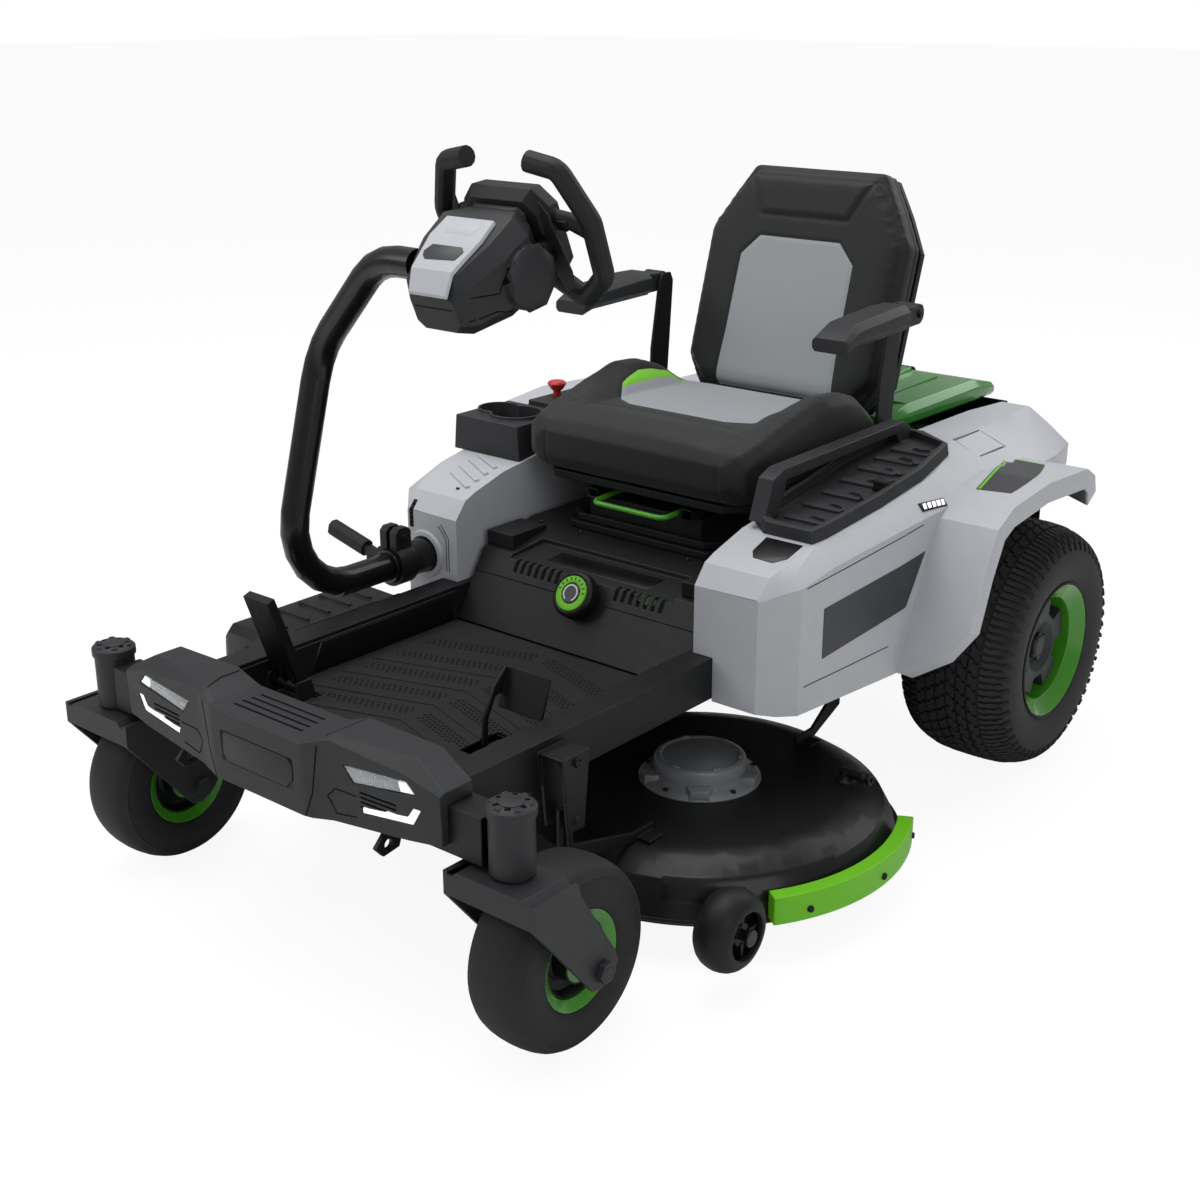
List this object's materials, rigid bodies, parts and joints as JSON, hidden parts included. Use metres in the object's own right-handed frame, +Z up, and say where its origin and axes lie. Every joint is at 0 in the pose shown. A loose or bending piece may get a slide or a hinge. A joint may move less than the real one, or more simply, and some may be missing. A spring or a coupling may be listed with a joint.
{
  "type": "zero turn mower",
  "caption": "Ride-on battery mower with a swing-away steering column, bucket seat, free casters and a lifting mower deck with side discharge.",
  "frame": {"origin": "middle of the overall box, on the ground", "axes": "+X to the driver's left, +Y to the back of the mower, +Z up"},
  "size_m": [1.408, 1.788, 1.147],
  "materials": {
    "frame_paint": "satin powder coat",
    "swivel_paint": "satin powder coat",
    "dark_plastic": "fine texture",
    "grey_plastic": "fine texture",
    "rubber_mat": "matte",
    "tyre_rubber": "matte",
    "rim_green": "gloss",
    "lens": "clear and white",
    "motor_alu": "satin",
    "pack_grey": "satin",
    "lime_plastic": "satin",
    "lever_green": "gloss",
    "hood_green": "clear tint",
    "blade_steel": "ground",
    "pedal_steel": "satin",
    "knob_red": "gloss",
    "seat_cover": "matte with grey panels"
  },
  "bodies": {
    "chassis": {"main_frame": "frame_paint", "column_sleeve": "frame_paint", "battery_bay": "frame_paint", "seat_carriage": "frame_paint", "rear_guard": "frame_paint", "clamp": "frame_paint", "swivel_tubes": "swivel_paint", "bumper_cover": "dark_plastic", "seat_box": "dark_plastic", "cup_holder": "dark_plastic", "control_panel": "dark_plastic", "tray_left": "dark_plastic", "floor_pan": "dark_plastic", "cowl_left": "grey_plastic", "cowl_right": "grey_plastic", "floor_mat": "rubber_mat", "seat_boot": "rubber_mat", "headlights": "lens", "wheel_motors": "motor_alu", "battery_packs": "pack_grey"},
    "caster_left": {"fork_left": "frame_paint"},
    "caster_right": {"fork_right": "frame_paint"},
    "front_wheel_left": {"front_tyre_left": "tyre_rubber", "front_rim_left": "rim_green"},
    "front_wheel_right": {"front_tyre_right": "tyre_rubber", "front_rim_right": "rim_green"},
    "rear_wheel_left": {"rear_tyre_left": "tyre_rubber", "rear_rim_left": "rim_green", "hub_cover_left": "dark_plastic"},
    "rear_wheel_right": {"rear_tyre_right": "tyre_rubber", "rear_rim_right": "rim_green", "hub_cover_right": "dark_plastic"},
    "column": {"column_tube": "frame_paint", "steering_head": "dark_plastic", "head_mask": "grey_plastic"},
    "steering_yoke": {"yoke": "dark_plastic"},
    "release_lever": {"clamp_lever": "dark_plastic"},
    "seat": {"seat_pan": "dark_plastic", "seat_cushion": "seat_cover", "seat_back": "seat_cover", "back_shell": "dark_plastic"},
    "slide_lever": {"seat_lever": "lever_green"},
    "arm_left": {"armrest_left": "dark_plastic"},
    "arm_right": {"armrest_right": "dark_plastic"},
    "battery_hood": {"hood": "hood_green"},
    "stop_button": {"stop_knob": "knob_red"},
    "height_dial": {"dial_knob": "dark_plastic"},
    "pedal_drive": {"drive_pedal": "dark_plastic"},
    "pedal_lift": {"lift_pedal": "pedal_steel"},
    "charging_door": {"charge_door": "grey_plastic"},
    "deck": {"deck_shell": "frame_paint", "deck_hangers": "frame_paint", "deck_motors": "motor_alu", "deck_guard": "lime_plastic"},
    "cutter_left": {"blade_left": "blade_steel"},
    "cutter_right": {"blade_right": "blade_steel"},
    "roller_left": {"gauge_roller_left": "tyre_rubber"},
    "roller_right": {"gauge_roller_right": "tyre_rubber"},
    "discharge_chute": {"chute": "dark_plastic"}
  },
  "joints": [
    {"name": "caster_swivel_left", "type": "hinge", "parent": "chassis", "child": "caster_left", "pos_m": [0.5136, -0.827, 0.2], "axis": [0, 0, 1], "continuous": true},
    {"name": "front_wheel_left", "type": "hinge", "parent": "caster_left", "child": "front_wheel_left", "pos_m": [0.5136, -0.743, 0.1384], "axis": [1, 0, 0], "continuous": true},
    {"name": "rear_wheel_left", "type": "hinge", "parent": "chassis", "child": "rear_wheel_left", "pos_m": [0.542, 0.494, 0.2286], "axis": [1, 0, 0], "continuous": true},
    {"name": "armrest_left", "type": "hinge", "parent": "seat", "child": "arm_left", "pos_m": [0.367, 0.366, 0.8328], "axis": [-1, 0, 0], "range_deg": [0, 95]},
    {"name": "blade_left", "type": "hinge", "parent": "deck", "child": "cutter_left", "pos_m": [0.354, -0.203, 0.086], "axis": [0, 0, 1], "continuous": true},
    {"name": "gauge_roller_left", "type": "hinge", "parent": "deck", "child": "roller_left", "pos_m": [0.62782, -0.49869, 0.1], "axis": [1, 0, 0], "continuous": true},
    {"name": "caster_swivel_right", "type": "hinge", "parent": "chassis", "child": "caster_right", "pos_m": [-0.3396, -0.827, 0.2], "axis": [0, 0, 1], "continuous": true},
    {"name": "front_wheel_right", "type": "hinge", "parent": "caster_right", "child": "front_wheel_right", "pos_m": [-0.3396, -0.743, 0.1384], "axis": [1, 0, 0], "continuous": true},
    {"name": "rear_wheel_right", "type": "hinge", "parent": "chassis", "child": "rear_wheel_right", "pos_m": [-0.368, 0.494, 0.2286], "axis": [1, 0, 0], "continuous": true},
    {"name": "armrest_right", "type": "hinge", "parent": "seat", "child": "arm_right", "pos_m": [-0.193, 0.366, 0.8328], "axis": [-1, 0, 0], "range_deg": [0, 95]},
    {"name": "blade_right", "type": "hinge", "parent": "deck", "child": "cutter_right", "pos_m": [-0.18, -0.203, 0.086], "axis": [0, 0, 1], "continuous": true},
    {"name": "gauge_roller_right", "type": "hinge", "parent": "deck", "child": "roller_right", "pos_m": [-0.45382, -0.49869, 0.1], "axis": [1, 0, 0], "continuous": true},
    {"name": "column_swing", "type": "hinge", "parent": "chassis", "child": "column", "pos_m": [-0.253, -0.206, 0.4078], "axis": [0, -1, 0], "range_deg": [0, 80]},
    {"name": "yoke_turn", "type": "hinge", "parent": "column", "child": "steering_yoke", "pos_m": [0.087, -0.326, 1.0198], "axis": [0, 0.9205, 0.3907], "range_deg": [-80, 80]},
    {"name": "release_lever", "type": "hinge", "parent": "chassis", "child": "release_lever", "pos_m": [-0.303, -0.295, 0.4138], "axis": [0, 1, 0], "range_deg": [0, 50]},
    {"name": "seat_slide", "type": "slide", "parent": "chassis", "child": "seat", "axis": [0, -1, 0], "range_m": [-0.01, 0.1]},
    {"name": "slide_lever", "type": "hinge", "parent": "chassis", "child": "slide_lever", "pos_m": [0.087, 0.032, 0.5228], "axis": [-1, 0, 0], "range_deg": [0, 7], "stiffness_Nm_per_rad": 4, "springref_deg": -5.73},
    {"name": "hood", "type": "hinge", "parent": "chassis", "child": "battery_hood", "pos_m": [0.087, 0.446, 0.5978], "axis": [1, 0, 0], "range_deg": [0, 50]},
    {"name": "stop_button", "type": "slide", "parent": "chassis", "child": "stop_button", "axis": [0, 0, -1], "range_m": [0, 0.01]},
    {"name": "height_dial", "type": "hinge", "parent": "chassis", "child": "height_dial", "pos_m": [0.087, -0.18825, 0.3908], "axis": [0, -0.8444, 0.5357], "continuous": true},
    {"name": "drive_pedal", "type": "hinge", "parent": "chassis", "child": "pedal_drive", "pos_m": [-0.123, -0.656, 0.3298], "axis": [1, 0, 0], "range_deg": [0, 18], "stiffness_Nm_per_rad": 10, "springref_deg": -8.59},
    {"name": "lift_pedal", "type": "hinge", "parent": "chassis", "child": "pedal_lift", "pos_m": [0.237, -0.593, 0.2818], "axis": [1, 0, 0], "range_deg": [0, 31]},
    {"name": "deck_lift", "type": "slide", "parent": "chassis", "child": "deck", "axis": [0, 0, 1], "range_m": [0, 0.055]},
    {"name": "chute", "type": "hinge", "parent": "deck", "child": "discharge_chute", "pos_m": [-0.52, -0.203, 0.212], "axis": [0, 1, 0], "range_deg": [0, 88]},
    {"name": "charge_door", "type": "hinge", "parent": "chassis", "child": "charging_door", "pos_m": [0.43585, 0.489, 0.59553], "axis": [0, -1, 0], "range_deg": [0, 85]}
  ],
  "couplings": [
    {"joint": "lift_pedal", "follows": "deck_lift", "rad_per_m": 9.5}
  ]
}
